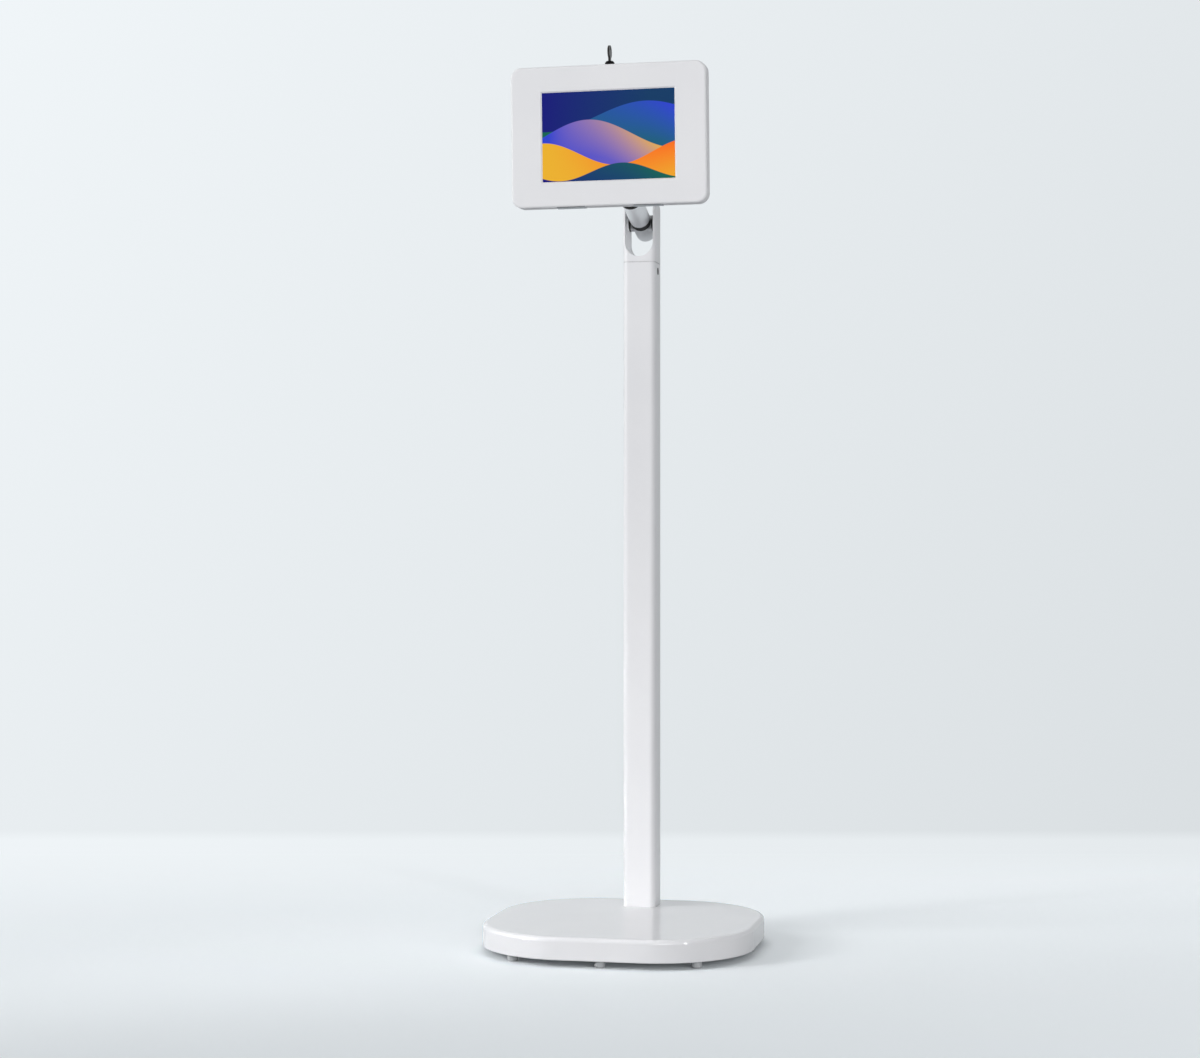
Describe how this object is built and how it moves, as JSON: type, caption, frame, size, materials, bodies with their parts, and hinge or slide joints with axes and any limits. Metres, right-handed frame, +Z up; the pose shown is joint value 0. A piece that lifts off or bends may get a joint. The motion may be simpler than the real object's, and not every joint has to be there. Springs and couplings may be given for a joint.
{
  "type": "tablet floor stand",
  "caption": "Floor stand with a weighted rounded base, square column and tilting arm that carries a turning, key-locked tablet enclosure with a hinged front cover.",
  "frame": {"origin": "on the floor under the middle of the base", "axes": "+Z up, the screen faces -Y, +X to the right of someone facing the screen"},
  "size_m": [0.362, 0.348, 1.1895],
  "materials": {
    "white_powder_coat": "satin powder coat",
    "satin_aluminium": "satin",
    "zinc_steel": "zinc plated",
    "black_oxide_steel": "black oxide",
    "black_plastic": "moulded matte",
    "black_rubber": "extruded matte",
    "grey_rubber": "matte",
    "tablet_aluminium": "anodised",
    "screen_glass": "glossy, lit from behind",
    "key_plastic": "moulded"
  },
  "bodies": {
    "stand": {"base_cover": "white_powder_coat", "ballast_plate": "zinc_steel", "feet": "grey_rubber", "cover_screws": "black_oxide_steel", "column_flange": "zinc_steel", "column_bolts": "black_oxide_steel", "column_tube": "white_powder_coat", "head_yoke": "white_powder_coat", "head_screws": "black_oxide_steel", "tilt_axle": "zinc_steel", "axle_caps": "white_powder_coat", "friction_washers": "black_plastic"},
    "arm": {"tilt_knuckle": "satin_aluminium", "rear_ring": "black_plastic", "arm_barrel": "satin_aluminium", "front_ring": "black_plastic", "arm_neck": "satin_aluminium", "arm_screws": "black_oxide_steel", "arm_hub": "satin_aluminium", "swivel_washer": "black_plastic"},
    "head": {"swivel_plate": "zinc_steel", "swivel_nut": "black_oxide_steel", "plate_screws": "black_oxide_steel", "plate_nuts": "zinc_steel", "rear_tray": "white_powder_coat", "tablet_cradle": "black_plastic", "tablet_body": "tablet_aluminium", "tablet_glass": "screen_glass", "lock_body": "black_oxide_steel", "lock_nut": "zinc_steel", "hinge_tray_leaves": "zinc_steel", "hinge_pins": "zinc_steel"},
    "cover": {"front_cover": "white_powder_coat", "cover_gasket": "black_rubber", "hinge_cover_leaves": "zinc_steel", "lock_strike": "zinc_steel"},
    "lock": {"lock_plug": "zinc_steel", "lock_cam": "zinc_steel", "cam_screw": "black_oxide_steel", "key": "key_plastic"}
  },
  "joints": [
    {"name": "arm_tilt", "type": "hinge", "parent": "stand", "child": "arm", "pos_m": [0, 0.1185, 0.9843], "axis": [-1, 0, 0], "range_deg": [-15, 45]},
    {"name": "head_turn", "type": "hinge", "parent": "arm", "child": "head", "pos_m": [0, -0.08131, 1.07181], "axis": [0, -0.9996, -0.0279], "range_deg": [-90, 90]},
    {"name": "cover_swing", "type": "hinge", "parent": "head", "child": "cover", "pos_m": [0.00048, -0.09859, 0.9796], "axis": [1, -0.0001, 0.0052], "range_deg": [0, 110]},
    {"name": "lock_turn", "type": "hinge", "parent": "head", "child": "lock", "pos_m": [-0.00048, -0.09681, 1.16292], "axis": [-0.0052, -0.0279, 0.9996], "range_deg": [0, 90]}
  ]
}
